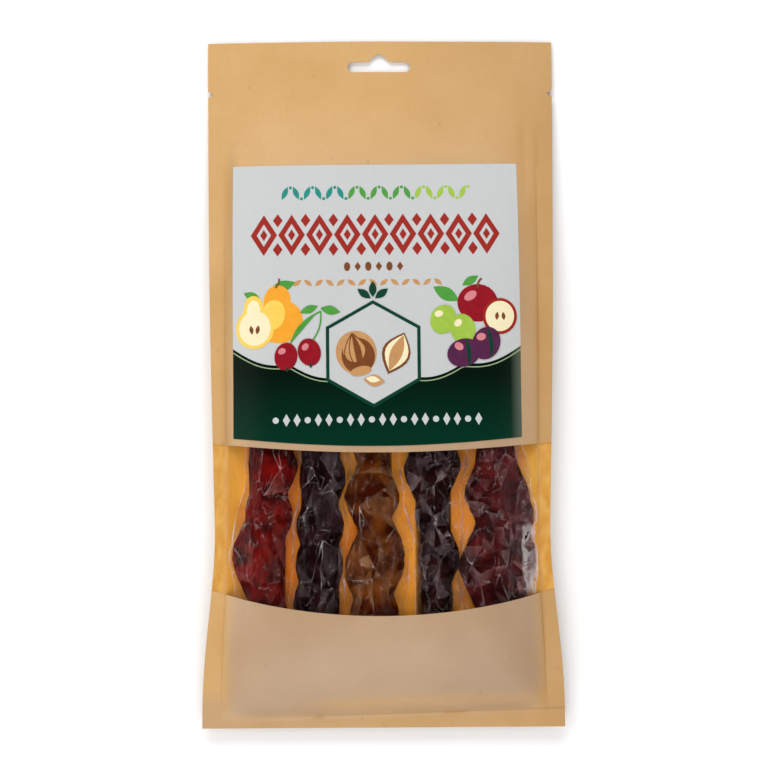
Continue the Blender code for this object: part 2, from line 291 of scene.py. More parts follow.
def back_inside(x, y):
    """Inner face of the back wall, pressed up beside and between the sticks."""
    low = back_face(x, y) + PAPER * 0.9
    seen = smooth((y - STICK_FOOT_Y) / 0.03) * smooth((STICK_TOP_Y - y) / 0.03)
    beside = smooth((min(abs(x - thread) for thread in THREADS) - 0.004) / 0.004)
    ripple = 0.0003 * rumple(x, y * 0.7, 0.006, 41.0) + 0.0001 * rumple(x, y, 0.0025, 42.0) - 0.0003
    ripple *= smooth((inner_half(y) - abs(x)) / 0.006)
    high = min(LINING_Z, film_face(x, y) - FILM - PAPER * 0.2)
    return low + max(high + ripple - low, 0.0) * seen * beside


def film_face(x, y):
    """Upper face of the window film: under the paper at its edges, drawn down between the sticks
    and beside the outer ones."""
    near_edge = min(window_top(x) - y, y - window_foot(x))
    slack = smooth(near_edge / 0.012)
    full = bulge(x, y)
    t = min(abs(x) / inner_half(y), 1.0)
    if t < 1.0:
        full *= 1.0 + slack * ((1.0 - t ** FILM_CROWN_POWER) ** 0.8 / crown(x, y) - 1.0)
    full -= FILM_SAG * between_threads(x) * slack * fullness(x, y) * crown(x, y)
    wrinkle = 0.00022 * rumple(x * 1.6, y * 0.6, 0.012, 33.0)
    lift = slack * smooth((inner_half(y) - abs(x)) / 0.010) * wrinkle
    return meeting(x, y) + PAPER * 0.3 + full + lift


def top_edge(x):
    return TOP_Y - TOP_ARCH * (x / (WIDTH / 2)) ** 2


def foot_edge(x):
    return FOOT_Y


def window_top(x):
    return WINDOW_TOP_Y + WINDOW_TOP_SAG * (x / half_width(WAIST_Y)) ** 2


def window_foot(x):
    return WINDOW_FOOT_Y + WINDOW_FOOT_SAG * (x / half_width(WAIST_Y)) ** 2


def label_top(x):
    return LABEL_TOP_Y + LABEL_TURN * (x - LABEL_X - LABEL_WIDTH / 2)


def label_x(right, y):
    """x of a place that far right of the label's middle."""
    spread = LABEL_SPREAD * smooth((y + 0.02) / (LABEL_TOP_Y + 0.02))
    return LABEL_X + right * (1.0 + spread) - LABEL_TURN * (y - LABEL_FOOT_Y)


def label_foot(x):
    return LABEL_FOOT_Y + LABEL_FOOT_SAG * (2.0 * (x - LABEL_X) / LABEL_WIDTH) ** 2


def label_face(x, y):
    return front_face(x, y) + GLUE + LABEL


# Materials

def linear(code):
    """An sRGB hex colour as linear RGBA."""
    parts = [int(code[i:i + 2], 16) / 255.0 for i in (0, 2, 4)]
    return [c / 12.92 if c <= 0.04045 else ((c + 0.055) / 1.055) ** 2.4 for c in parts] + [1.0]


def add(tree, kind, inputs=None, **settings):
    """Adds a shader node with its settings. An input is a value, an output, or a node, which stands
    for its first output."""
    node = tree.nodes.new("ShaderNode" + kind)
    for key, value in settings.items():
        setattr(node, key, value)
    for key, value in (inputs or {}).items():
        if isinstance(value, bpy.types.Node):
            value = value.outputs[0]
        if isinstance(value, bpy.types.NodeSocket):
            tree.links.new(value, node.inputs[key])
        else:
            node.inputs[key].default_value = value
    return node


def new_material(name):
    """An empty node material and its tree."""
    material = bpy.data.materials.new(name)
    material.use_nodes = True
    material.node_tree.nodes.clear()
    return material, material.node_tree


def across_along(tree):
    """x and y of a point of the piece."""
    here = add(tree, "SeparateXYZ", {0: add(tree, "TexCoord").outputs["Object"]})
    return here.outputs[0], here.outputs[1]


def stretched(tree, y=1.0):
    """Object coordinates for a pattern; below 1, y draws it out along the pack."""
    return add(tree, "Mapping", {"Vector": add(tree, "TexCoord").outputs["Object"], "Scale": (1.0, y, 1.0)})


def coats(tree, tone, *layers):
    """A colour with others laid over it in turn, each by its share. A third word is how it blends."""
    for share, colour, *blend in layers:
        pair = [linear(each) if isinstance(each, str) else each for each in (tone, colour)]
        mix = add(tree, "Mix", {"Factor": share, 6: pair[0], 7: pair[1]}, data_type="RGBA",
                  blend_type=blend[0] if blend else "MIX")
        tone = mix.outputs[2]
    return tone


def over(tree, shader, *layers):
    """A shader with others laid over it in turn, each by its share."""
    for share, upper in layers:
        shader = add(tree, "MixShader", {0: share, 1: shader, 2: upper})
    return shader


def kraft_laminate():
    """Brown kraft paper under a thin matte laminate: warm and deep where it is sealed to the other
    wall, greyer and hazier where it stands free over the fill, partly the laminate's own haziness
    and partly painted shade and sheen, with a painted shade deeper to the right and in the hollow
    beside the label's left edge, fine fibres, a few flecks and a painted shadow line along the
    inner edge of the bottom seal."""
    material, tree = new_material("kraft_laminate")
    x, y = across_along(tree)
    # The first mark lays on the greyer tone of the free paper, partly painted shade and sheen; the second
    # lays a painted shade in the hollow beside the label.
    loose_with_painted_sheen = add(tree, "Attribute", attribute_name="loose_with_painted_sheen").outputs["Fac"]
    painted_hollow_shade = add(tree, "Attribute", attribute_name="painted_hollow_shade").outputs["Fac"]
    clouds = add(tree, "TexNoise", {"Vector": stretched(tree), "Scale": 30.0, "Detail": 4.0})
    fibres = add(tree, "TexNoise", {"Vector": stretched(tree, 0.35), "Scale": 900.0, "Detail": 4.0,
                                    "Roughness": 0.65})
    flecks = add(tree, "TexNoise", {"Vector": stretched(tree, 0.6), "Scale": 260.0, "Detail": 1.0})
    patch = add(tree, "MapRange", {"Value": clouds, "From Min": 0.3, "From Max": 0.7})
    grain = add(tree, "MapRange", {"Value": fibres, "From Min": 0.35, "From Max": 0.65, "To Max": 0.16})
    spot = add(tree, "MapRange", {"Value": flecks, "From Min": 0.735, "From Max": 0.80, "To Max": 0.20})
    # A painted shadow line along the bottom seal's inner edge, fading out towards the left.
    lean = add(tree, "Math", {0: x, 1: -SEAL_SLANT, 2: y}, operation="MULTIPLY_ADD")
    off = add(tree, "Math", {0: lean, 1: FILL_FOOT_Y + 0.0003}, operation="SUBTRACT")
    off = add(tree, "Math", {0: off}, operation="ABSOLUTE")
    line = add(tree, "MapRange", {"Value": off, "From Max": SEAL_SHADOW_LINE, "To Min": 0.34, "To Max": 0.0})
    inward = add(tree, "MapRange", {"Value": x, "From Min": -0.066, "From Max": 0.01})
    pressed = add(tree, "Math", {0: line, 1: inward}, operation="MULTIPLY")
    # A painted shade: the paper a little darker towards the right.
    deeper = add(tree, "MapRange", {"Value": x, "From Max": 0.085})
    sealed = coats(tree, "C99C5E", (patch, "D1A66C"))
    free = coats(tree, "B09070", (patch, "B99A7A"))
    tone = coats(tree, sealed, (loose_with_painted_sheen, free), (grain, "B98C58"), (spot, "8E6538"), (pressed, "94663A"),
                 (painted_hollow_shade, HOLLOW_SHADE, "MULTIPLY"), (deeper, RIGHT_SHADE, "MULTIPLY"))
    bump = add(tree, "Bump", {"Height": fibres, "Strength": 0.08, "Distance": 0.0002})
    shader = add(tree, "BsdfPrincipled", {"Base Color": tone, "Roughness": 0.45, "IOR": 1.45,
                                          "Normal": bump})
    add(tree, "OutputMaterial", {0: shader})
    return material


def golden_lining():
    """The glossy inside of the back wall: kraft under its laminate, deep golden orange between the
    sticks, paler and softly mottled in the strips beside them and in the side seals, whose mottle is
    partly the texture of the welding and partly painted glints of the film over it, a painted shade
    making the left strip deeper again, with a few fine specks."""
    material, tree = new_material("golden_lining")
    x, _ = across_along(tree)
    side = add(tree, "Math", {0: x}, operation="ABSOLUTE")
    clouds = add(tree, "TexNoise", {"Vector": stretched(tree, 0.4), "Scale": 60.0, "Detail": 4.0})
    ripple = add(tree, "TexNoise", {"Vector": stretched(tree, 0.45), "Scale": 300.0, "Detail": 2.0})
    specks = add(tree, "TexNoise", {"Vector": stretched(tree, 0.5), "Scale": 620.0, "Detail": 1.0})
    strip = add(tree, "MapRange", {"Value": side, "From Min": STRIP_X, "From Max": STRIP_X + 0.007})
    # A painted shade over the left strip.
    left = add(tree, "MapRange", {"Value": x, "From Min": -STRIP_X, "From Max": -STRIP_X - 0.006})
    seal = add(tree, "MapRange", {"Value": side, "From Min": WELD_X, "From Max": WELD_X + 0.004})
    share = add(tree, "MapRange", {"Value": clouds, "From Min": 0.40, "From Max": 0.62})
    glint = add(tree, "MapRange", {"Value": ripple, "From Min": 0.35, "From Max": 0.70})
    speck = add(tree, "MapRange", {"Value": specks, "From Min": 0.66, "From Max": 0.76, "To Max": 0.45})
    middle = coats(tree, "E7801B", (share, "FFA636"))
    beside = coats(tree, "DB9226", (share, "EFB24A"))
    # In the side seals the paler mottle is partly painted glints of the film over them.
    welded = coats(tree, "D4973F", (glint, "E2AE5D"))
    tone = coats(tree, middle, (strip, beside), (left, LEFT_SHADE, "MULTIPLY"), (seal, welded),
                 (speck, "B9761E"))
    depth = add(tree, "MapRange", {"Value": seal, "To Min": 0.30, "To Max": 0.02})
    bump = add(tree, "Bump", {"Height": ripple, "Strength": depth, "Distance": 0.0006})
    shader = add(tree, "BsdfPrincipled", {"Base Color": tone, "Roughness": 0.30, "IOR": 1.35,
                                          "Normal": bump})
    add(tree, "OutputMaterial", {0: shader})
    return material


def coated_print(name, ink):
    """Satin coated label paper, or ink on it: a soft gloss and faint mottling. The ink is a function
    that makes its colour from that mottling."""
    material, tree = new_material(name)
    mottle = add(tree, "TexNoise", {"Vector": stretched(tree), "Scale": 320.0, "Detail": 3.0})
    bump = add(tree, "Bump", {"Height": mottle, "Strength": 0.03, "Distance": 0.0002})
    shader = add(tree, "BsdfPrincipled", {"Base Color": ink(tree, mottle), "Roughness": 0.32,
                                          "IOR": 1.13, "Normal": bump})
    add(tree, "OutputMaterial", {0: shader})
    return material


def mottled_ink(low, high):
    """A nearly even colour."""
    return lambda tree, mottle: coats(tree, low, (mottle, high))


def field_ink(tree, mottle):
    """Dark green: nearly black at the field's upper edge, greener towards the foot, with a soft
    painted glare where the label bends down at its right edge."""
    x, y = across_along(tree)
    right = LABEL_X + LABEL_WIDTH / 2
    down = add(tree, "MapRange", {"Value": y, "From Min": LABEL_FOOT_Y + 0.034,
                                  "From Max": LABEL_FOOT_Y + 0.004})
    # A painted glare towards the label's right edge.
    glare = add(tree, "MapRange", {"Value": x, "From Min": right - 0.0052, "From Max": right - 0.0010})
    return coats(tree, "04140C", (down, "032F20"), (glare, "4C584A"))


def dried_must(name, dark, bright):
    """Thick dried grape must: a tough translucent jelly skin, darker where thick, with a low gloss."""
    material, tree = new_material(name)
    lumps = add(tree, "TexNoise", {"Vector": stretched(tree), "Scale": 95.0, "Detail": 2.0})
    skin = add(tree, "TexNoise", {"Vector": stretched(tree, 0.6), "Scale": 420.0, "Detail": 5.0,
                                  "Roughness": 0.6})
    share = add(tree, "MapRange", {"Value": lumps, "From Min": 0.42, "From Max": 0.68})
    bump = add(tree, "Bump", {"Height": skin, "Strength": 0.35, "Distance": 0.0006})
    shader = add(tree, "BsdfPrincipled", {
        "Base Color": coats(tree, dark, (share, bright)), "Roughness": 0.42, "IOR": 1.45,
        "Specular IOR Level": 0.01, "Subsurface Weight": 0.5, "Subsurface Radius": (1.0, 0.25, 0.12),
        "Subsurface Scale": 0.002, "Normal": bump})
    add(tree, "OutputMaterial", {0: shader})
    return material


def clear_film():
    """Thin clear polypropylene: see-through, with a mirror gloss from both of its faces and a pale
    painted highlight along the line where it is welded to the side seals."""
    material, tree = new_material("window_film_gloss")
    waves = add(tree, "TexNoise", {"Vector": stretched(tree), "Scale": 40.0, "Detail": 2.0})
    bump = add(tree, "Bump", {"Height": waves, "Strength": 0.5, "Distance": 0.0004})
    clear = add(tree, "BsdfTransparent", {"Color": (0.99, 0.988, 0.985, 1.0)})
    gloss = add(tree, "BsdfGlossy", {"Color": (1.0, 1.0, 1.0, 1.0), "Roughness": 0.10, "Normal": bump})
    fresnel = add(tree, "Fresnel", {"IOR": 1.07, "Normal": bump})
    share = add(tree, "Math", {0: fresnel, 1: 0.25}, operation="MINIMUM")
    # A pale painted highlight where the film is welded at the side seals.
    weld_highlight = add(tree, "Attribute", attribute_name="weld_highlight").outputs["Fac"]
    pale = add(tree, "BsdfDiffuse", {"Color": (0.95, 0.88, 0.78, 1.0)})
    add(tree, "OutputMaterial", {0: over(tree, clear, (share, gloss), (weld_highlight, pale))})
    return material


def crinkled_wrap(name, sheen_code):
    """Tight clear wrap: flat facets, some with a painted sheen in which its stick shows through, thin
    painted highlight lines along its sharp creases and the edges of its flat fins, and fine curling
    painted highlight lines for small wrinkles in patches. Only its faint mirror gloss is a real reflection."""
    material, tree = new_material(name)
    painted_sheen, crease_highlight, glow = [add(tree, "Attribute", attribute_name=each).outputs["Fac"]
                          for each in ("painted_sheen", "crease_highlight", "glow")]
    streak = add(tree, "TexNoise", {"Vector": stretched(tree, 0.5), "Scale": 330.0, "Detail": 2.0})
    patch = add(tree, "TexNoise", {"Vector": stretched(tree), "Scale": 160.0, "Detail": 1.0})
    curl = add(tree, "TexNoise", {"Vector": stretched(tree, 0.6), "Scale": 190.0, "Detail": 1.0,
                                  "Distortion": 0.8})
    uneven = add(tree, "MapRange", {"Value": streak, "From Min": 0.35, "From Max": 0.65,
                                    "To Min": 0.14, "To Max": 0.40})
    # Painted sheen on the facets, uneven along streaks.
    sheen = add(tree, "Math", {0: painted_sheen, 1: uneven}, operation="MULTIPLY")
    sheen = add(tree, "Math", {0: sheen, 1: glow}, operation="MULTIPLY")
    # Painted highlight lines along the creases and the fins' edges, and curling ones for small wrinkles.
    line = add(tree, "MapRange", {"Value": crease_highlight, "From Min": 0.68, "From Max": 1.0})
    some = add(tree, "MapRange", {"Value": patch, "From Min": 0.42, "From Max": 0.60,
                                  "To Min": 0.04, "To Max": 0.32})
    fold_highlight = add(tree, "Math", {0: line, 1: some}, operation="MULTIPLY")
    edge = add(tree, "MapRange", {"Value": crease_highlight, "From Min": 1.0, "From Max": 2.4, "To Max": 0.42})
    fold_highlight = add(tree, "Math", {0: fold_highlight, 1: edge}, operation="MAXIMUM")
    off = add(tree, "Math", {0: curl, 1: 0.5}, operation="SUBTRACT")
    off = add(tree, "Math", {0: off}, operation="ABSOLUTE")
    ridge = add(tree, "MapRange", {"Value": off, "From Max": 0.016, "To Min": 1.0, "To Max": 0.0})
    where = add(tree, "MapRange", {"Value": streak, "From Min": 0.46, "From Max": 0.62, "To Max": 0.16})
    wrinkle = add(tree, "Math", {0: ridge, 1: where}, operation="MULTIPLY")
    lines = add(tree, "Math", {0: fold_highlight, 1: wrinkle}, operation="MAXIMUM")
    clear = add(tree, "BsdfTransparent", {"Color": (0.985, 0.98, 0.975, 1.0)})
    gloss = add(tree, "BsdfGlossy", {"Color": (1.0, 1.0, 1.0, 1.0), "Roughness": 0.08})
    mirror = add(tree, "Math", {0: add(tree, "Fresnel", {"IOR": 1.13}), 1: 0.10}, operation="MINIMUM")
    # The painted sheen and highlight lines are diffuse colours over the clear film; only the mirror gloss
    # is reflected.
    dim = add(tree, "BsdfDiffuse", {"Color": linear(sheen_code)})
    pale = add(tree, "BsdfDiffuse", {"Color": (0.92, 0.85, 0.86, 1.0)})
    add(tree, "OutputMaterial", {0: over(tree, clear, (mirror, gloss), (sheen, dim), (lines, pale))})
    return material


# Making pieces

def linked(name, data):
    """An object of the scene with that mesh, light or camera."""
    obj = bpy.data.objects.new(name, data)
    bpy.context.scene.collection.objects.link(obj)
    return obj


def solid(name, bm, *materials):
    """An object with the shape of bm."""
    mesh = bpy.data.meshes.new(name)
    bm.to_mesh(mesh)
    bm.free()
    for material in materials:
        mesh.materials.append(material)
    return linked(name, mesh)


def piece(name, bm, materials, node, sharp=40.0):
    """A finished piece: its mesh in place, riding on the root, standing for its CAD node."""
    obj = solid(name, bm, *materials)
    obj.data.shade_smooth()
    obj.data.set_sharp_from_angle(angle=math.radians(sharp))
    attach(obj, "root")
    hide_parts(node)
    return obj


def pouch_column(step, y):
    """x of a grid line: the last few cells are the side seal, the others crowd towards it."""
    over = abs(step) - SIDE_CELLS
    if over > 0:
        x = inner_half(y) + (half_width(y) - inner_half(y)) * over / SEAL_CELLS
        return math.copysign(x, step)
    return inner_half(y) * math.sin(math.pi / 2 * step / SIDE_CELLS)


def label_column(step, y):
    return label_x(LABEL_WIDTH / 2 * math.sin(math.pi / 2 * step / (SIDE_CELLS + SEAL_CELLS)), y)


def sheet(rows, column, foot, top, lower, upper):
    """A closed sheet between two heights, from the edge foot to the edge top."""
    bm = bmesh.new()
    steps = SIDE_CELLS + SEAL_CELLS
    bmesh.ops.create_grid(bm, x_segments=2 * steps, y_segments=rows, size=1.0)
    for vert in bm.verts:
        step = vert.co.x * steps
        share = (vert.co.y + 1.0) / 2.0
        x = column(step, 0.0)
        for _ in range(3):
            y = foot(x) + share * (top(x) - foot(x))
            x = column(step, y)
        vert.co = (x, y, upper(x, y))
    sides = bmesh.ops.extrude_face_region(bm, geom=bm.faces[:])
    for item in sides["geom"]:
        if isinstance(item, bmesh.types.BMVert):
            item.co.z = lower(item.co.x, item.co.y)
    bmesh.ops.recalc_face_normals(bm, faces=bm.faces)
    return bm


def rows_for(length):
    return max(round(length / ROW_LENGTH), 4)


def prism(outline, low, high):
    """A cutter with a flat outline, from low to high."""
    bm = bmesh.new()
    face = bm.faces.new([bm.verts.new((x, y, low)) for x, y in outline])
    raised = bmesh.ops.extrude_face_region(bm, geom=[face])
    corners = [item for item in raised["geom"] if isinstance(item, bmesh.types.BMVert)]
    bmesh.ops.translate(bm, verts=corners, vec=(0.0, 0.0, high - low))
    bmesh.ops.recalc_face_normals(bm, faces=bm.faces)
    return solid("cutter", bm)


def slot_outline():
    """Round-ended bar with a bump on its upper side, counter-clockwise."""
    radius = SLOT_HEIGHT / 2
    reach = SLOT_LENGTH / 2 - radius
    points = []
    for side, start in ((-1, 90.0), (1, -90.0)):
        for step in range(13):
            angle = math.radians(start + 15.0 * step)
            points.append((SLOT_X + side * reach + radius * math.cos(angle),
                           SLOT_Y + radius * math.sin(angle)))
    for step in range(17):
        share = 1.0 - step / 8.0
        rise = BUMP_HEIGHT * max(math.cos(math.pi / 2 * share), 0.0) ** 0.8
        points.append((SLOT_X + BUMP_FOOT / 2 * share, SLOT_Y + radius + rise))
    return points


def notch_outline(side):
    """A blunt wedge cut into the side edge."""
    edge = side * half_width(NOTCH_Y)
    outside = edge + side * 0.002
    depth = edge - side * NOTCH_DEPTH
    half = NOTCH_HEIGHT / 2
    return ((outside, NOTCH_Y - half), (edge, NOTCH_Y - half), (depth, NOTCH_Y - 0.2 * half),
            (depth, NOTCH_Y + 0.2 * half), (edge, NOTCH_Y + half), (outside, NOTCH_Y + half))


def cut_header(obj):
    """Cuts the hang slot and the tear notches through a wall."""
    cutters = [prism(outline, CUT_LOW, CUT_HIGH)
               for outline in (slot_outline(), notch_outline(-1), notch_outline(1))]
    for cutter in cutters:
        modifier = obj.modifiers.new("cut", "BOOLEAN")
        modifier.operation = "DIFFERENCE"
        modifier.solver = "EXACT"
        modifier.object = cutter
    depsgraph = bpy.context.evaluated_depsgraph_get()
    whole = bpy.data.meshes.new_from_object(obj.evaluated_get(depsgraph))
    obj.modifiers.clear()
    obj.data = whole
    for cutter in cutters:
        bpy.data.objects.remove(cutter, do_unlink=True)


def mark(obj, name, level):
    """Writes a value at each point of a piece, for its material to read."""
    values = obj.data.attributes.new(name, "FLOAT", "POINT").data
    for vert, value in zip(obj.data.vertices, values):
        value.value = level(vert.co.x, vert.co.y)


def hollow(x, y):
    """How strongly a point of the front takes the painted shade in the hollow beside the label's left edge.
    """
    return bell(x - HOLLOW_X, HOLLOW_HALF) * smooth((0.122 - y) / 0.03) * smooth((y + 0.06) / 0.01)


def looseness_with_painted_sheen(x, y):
    """How much of the greyer tone a point of the front takes, from 0 to 1: more where it stands free
    of the back wall, partly as painted shade and sheen, less beside the label and on a painted
    highlight just above the bottom seal, more as a painted sheen along the bottom edge, most at the left.
    """
    beside_label = smooth((abs(x) - 0.058) / 0.010) * smooth((y + 0.10) / 0.03)
    free = smooth(bulge(x, y) / (0.0065 if y > 0.0 else 0.0016))
    free *= smooth((inner_half(y) - abs(x)) / 0.0095 + 0.18)
    # A painted highlight: less of the greyer tone on a band just above the bottom seal.
    ridge = bell(y - FILL_FOOT_Y - SEAL_SLANT * x - 0.0055, 0.0035)
    free *= 1.0 - 0.55 * ridge * smooth((x + 0.045) / 0.03)
    # A painted sheen: more of the greyer tone along the bottom edge, most at the left.
    at_foot = (0.32 - 3.2 * x) * smooth((FOOT_Y + 0.02 - y) / 0.01)
    return max(free * (1.0 - 0.45 * beside_label), at_foot)


def make_pouch(kraft, lining):
    """Back wall, and the front wall above and below the window."""
    back = sheet(rows_for(TOP_Y - FOOT_Y), pouch_column, foot_edge, top_edge,
                 back_face, back_inside)
    for face in back.faces:
        face.material_index = 1 if face.normal.z > 0.2 else 0
    cut_header(piece("pouch_back", back, (kraft, lining), "pouch"))
    upper = sheet(rows_for(TOP_Y - WINDOW_TOP_Y), pouch_column, window_top, top_edge,
                  front_inside, front_face)
    above = piece("pouch_front_upper", upper, (kraft,), "pouch")
    cut_header(above)
    lower = sheet(rows_for(WINDOW_FOOT_Y - FOOT_Y), pouch_column, foot_edge, window_foot,
                  front_inside, front_face)
    below = piece("pouch_front_lower", lower, (kraft,), "pouch")
    for front in (above, below):
        # Marks for the painted shade beside the label and for the greyer, partly painted tone of the free
        # paper.
        mark(front, "painted_hollow_shade", hollow)
        mark(front, "loose_with_painted_sheen", looseness_with_painted_sheen)


def weld_highlight_level(x, y):
    """How strong the pale painted highlight is along the line where the film's edge is welded in."""
    return (0.04 + 0.06 * rumple(0.0, y, 0.006, 61.0)) * bell(inner_half(y) - abs(x), 0.0003)


def make_window(film):
    """The film behind the window's cut edges, tucked a little way under the paper."""
    bm = sheet(rows_for(WINDOW_TOP_Y - WINDOW_FOOT_Y), pouch_column,
               lambda x: window_foot(x) - FILM_TUCK, lambda x: window_top(x) + FILM_TUCK,
               lambda x, y: film_face(x, y) - FILM, film_face)
    mark(piece("window_film_clear", bm, (film,), "window_film"), "weld_highlight", weld_highlight_level)


def make_label(paper):
    bm = sheet(rows_for(LABEL_TOP_Y - LABEL_FOOT_Y), label_column, label_foot, label_top,
               lambda x, y: front_face(x, y) + GLUE, label_face)
    piece("label_sheet", bm, (paper,), "label")


# Print on the label. Outlines are in millimetres: u right of the label's middle, v down from its top

def turned(u, v, turn, outline):
    """An outline about its middle, turned and moved there."""
    sine, cosine = math.sin(math.radians(turn)), math.cos(math.radians(turn))
    return [(u + a * cosine - b * sine, v + a * sine + b * cosine) for a, b in outline]


def ellipse(u, v, across, down, turn=0.0, sides=26):
    """An oval with these half axes, or with few sides a regular polygon."""
    angles = [2.0 * math.pi * step / sides for step in range(sides)]
    return turned(u, v, turn, [(across * math.cos(angle), down * math.sin(angle)) for angle in angles])


def leaf(u, v, length, width, turn):
    """A pointed oval."""
    shares = [step / 8.0 for step in range(8)]
    return turned(u, v, turn, [(side * length * (share - 0.5), side * width / 2 * math.sin(math.pi * share))
                               for side in (1, -1) for share in shares])


def ring(outer, inner):
    """The band between two like outlines, as four-sided pieces."""
    count = len(outer)
    return [[outer[i], outer[(i + 1) % count], inner[(i + 1) % count], inner[i]] for i in range(count)]


def stroke(points, width):
    """A line of even width through some points."""
    left, right = [], []
    for index, (u, v) in enumerate(points):
        before, after = points[max(index - 1, 0)], points[min(index + 1, len(points) - 1)]
        length = math.hypot(after[0] - before[0], after[1] - before[1])
        normal_u, normal_v = -(after[1] - before[1]) / length, (after[0] - before[0]) / length
        left.append((u + normal_u * width / 2, v + normal_v * width / 2))
        right.append((u - normal_u * width / 2, v - normal_v * width / 2))
    return left + right[::-1]


def bow(u0, v0, u1, v1, bulge_by, width):
    """A bent line between two points."""
    points = []
    for step in range(9):
        share = step / 8.0
        side = bulge_by * math.sin(math.pi * share)
        length = math.hypot(u1 - u0, v1 - v0)
        points.append((u0 + (u1 - u0) * share - (v1 - v0) / length * side,
                       v0 + (v1 - v0) * share + (u1 - u0) / length * side))
    return stroke(points, width)


def on_label(right, down):
    """A place on the label, from the middle of its print's top edge."""
    y = PRINT_TOP_Y - down
    return label_x(right, y), y + LABEL_TURN * right, 0.0


PRINT_EDGE = 0.0028         # longest edge of the print's mesh, so that it follows the label


def print_on_label(name, material, shapes):
    """Thin ink solids that follow the label. A shape is its layer and its outline."""
    bm = bmesh.new()
    layer_of = bm.verts.layers.float.new("layer")
    for layer, outline in shapes:
        corners = [bm.verts.new(on_label(u / 1000.0, v / 1000.0)) for u, v in outline]
        for corner in corners:
            corner[layer_of] = layer
        bm.faces.new(corners)
    for _ in range(5):
        bmesh.ops.triangulate(bm, faces=bm.faces)
        long_edges = [edge for edge in bm.edges if edge.calc_length() > PRINT_EDGE]
        if not long_edges:
            break
        bmesh.ops.subdivide_edges(bm, edges=long_edges, cuts=1)
    bmesh.ops.triangulate(bm, faces=bm.faces)
    raised = bmesh.ops.extrude_face_region(bm, geom=bm.faces[:])
    top = {item for item in raised["geom"] if isinstance(item, bmesh.types.BMVert)}
    for vert in bm.verts:
        x, y = vert.co.x, vert.co.y
        vert.co.z = label_face(x, y) + (INK * vert[layer_of] if vert in top else -INK)
    bmesh.ops.recalc_face_normals(bm, faces=bm.faces)
    piece(name, bm, (material,), "label")


HALF_LABEL = 68.0           # in millimetres
SWAG = 27.2                 # width of one swag of the garland


def field_edge(u):
    """Upper edge of the dark green field: a garland that hangs from the label's sides."""
    swag = abs(math.sin(math.pi * (u + HALF_LABEL) / SWAG))
    return 88.0 + 15.0 * (1.0 - (abs(u) / HALF_LABEL) ** 1.6) + 3.0 * swag


def heading_ornament(put):
    """The wide red row of nested lozenges, and the small rows above and below it."""
    for step in range(17):
        u = -43.0 + 5.3 * step
        colour = ("teal", "green", "lime")[step * 3 // 17]
        put(colour, 1, leaf(u, 11.2, 7.4, 2.6, 68.0 if step % 2 else 112.0))
        put(colour, 1, ellipse(u + 2.65, 14.2 if step % 2 else 8.4, 0.8, 0.8, sides=10))
    for step in range(9):
        u = -52.9 + 13.2 * step
        put("red", 1, *ring(ellipse(u, 32.7, 6.3, 10.4, sides=4), ellipse(u, 32.7, 3.4, 5.7, sides=4)))
        put("red", 1, ellipse(u, 32.7, 1.7, 2.9, sides=4))
        if step < 8:
            for side in (-1, 1):
                put("red", 1, ellipse(u + 6.6, 32.7 + side * 7.4, 2.3, 3.4, sides=4))
    for step in range(6):
        put("brown", 1, ellipse(-13.5 + 5.0 * step, 49.0, 1.5, 2.3, sides=4 if step % 2 else 12))
    for step in range(14):
        u = -37.0 + 5.1 * step
        put("tan", 1, leaf(u, 57.0, 5.0, 2.2, 40.0 if step % 2 else 140.0))


def fruit(put, colour, shine, layer, u, v, across, down, turn=0.0):
    """A round fruit with a soft light patch."""
    put(colour, layer, ellipse(u, v, across, down, turn))
    put(shine, layer + 1,
        ellipse(u - across * 0.35, v - down * 0.38, across * 0.34, down * 0.22, turn - 35.0))


def left_fruits(put):
    """Pears and rose hips."""
    put("green", 1, leaf(-44.0, 58.5, 13.0, 5.6, -18.0), leaf(-58.5, 63.0, 9.0, 4.2, 24.0))
    put("orange", 2, ellipse(-45.5, 75.5, 11.2, 10.6), ellipse(-46.5, 65.5, 6.4, 7.6, 8.0))
    put("yellow", 3, ellipse(-48.5, 72.5, 5.6, 7.4, 14.0))
    put("brown", 3, bow(-47.4, 59.2, -45.6, 54.6, 0.7, 0.9))
    put("yellow", 4, ellipse(-57.2, 78.6, 9.2, 10.0), ellipse(-57.8, 69.2, 4.8, 6.4))
    put("cream", 5, ellipse(-57.2, 78.6, 7.6, 8.4), ellipse(-57.8, 70.0, 3.2, 5.0))
    put("brown", 6, leaf(-58.8, 79.4, 4.4, 2.0, 80.0), leaf(-55.8, 79.4, 4.4, 2.0, 100.0))
    put("green", 5, bow(-30.5, 86.0, -26.0, 71.0, 1.6, 0.7), bow(-41.0, 88.5, -26.0, 71.0, -3.0, 0.7),
        leaf(-21.5, 70.5, 9.5, 4.4, 12.0), leaf(-31.5, 70.0, 9.0, 3.8, 160.0))
    for u, v, turn in ((-42.5, 92.5, 10.0), (-31.5, 90.6, -14.0)):
        fruit(put, "berry", "pink", 6, u, v, 5.4, 6.6, turn)
        put("dark", 8, leaf(u + 0.6, v + 6.2, 2.6, 1.4, 90.0))


